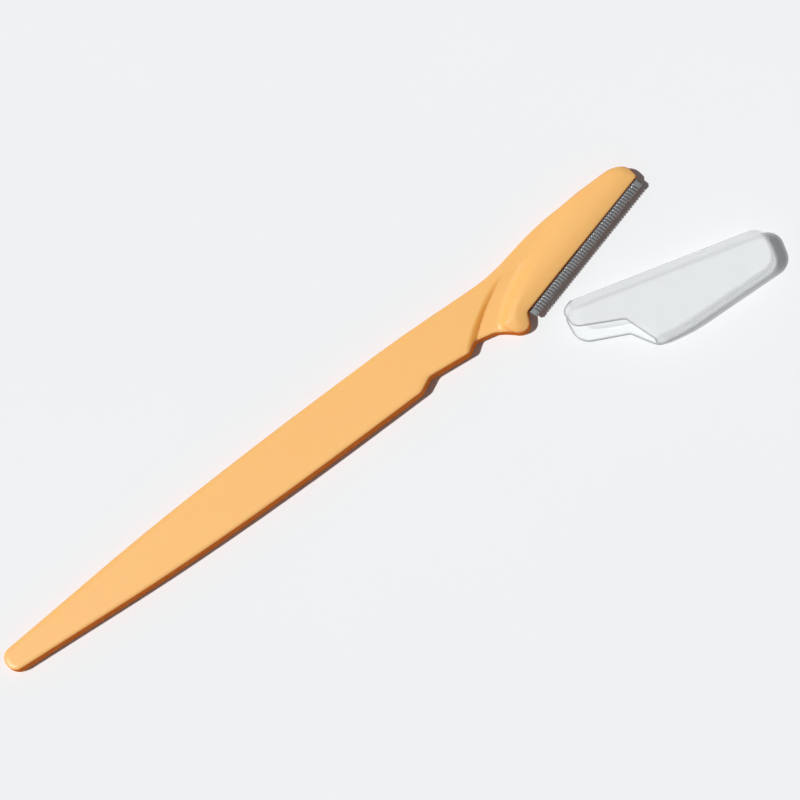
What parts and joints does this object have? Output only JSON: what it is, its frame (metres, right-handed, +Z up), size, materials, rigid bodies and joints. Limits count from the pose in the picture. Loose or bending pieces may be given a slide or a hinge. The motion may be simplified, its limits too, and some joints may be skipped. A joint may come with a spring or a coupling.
{
  "type": "eyebrow razor",
  "caption": "Slim flat-handled eyebrow razor with a slanted guarded blade along one side of its head and a clear slide-on cap lying beside it.",
  "frame": {"origin": "on the flat underside of the grip, at the middle of the razor's overall length", "axes": "+X along the grip from the tail to the tip, +Y towards the back of the head, away from the cutting edge, +Z up out of the face with the raised pad"},
  "size_m": [0.1646, 0.0353, 0.0057],
  "materials": {
    "handle_plastic": "moulded apricot plastic with a soft satin gloss",
    "blade_steel": "rolled stainless strip, ground at the edge",
    "guard_steel": "thin stainless strip, slotted and folded",
    "cap_plastic": "thin clear moulding with a slight haze"
  },
  "bodies": {
    "razor": {"handle": "handle_plastic", "blade": "blade_steel", "guard": "guard_steel"},
    "cap": {"cap": "cap_plastic"}
  },
  "joints": [
    {"name": "cap_lift", "type": "slide", "parent": "razor", "child": "cap", "axis": [0, 0, 1], "range_m": [0, 0.06]}
  ]
}
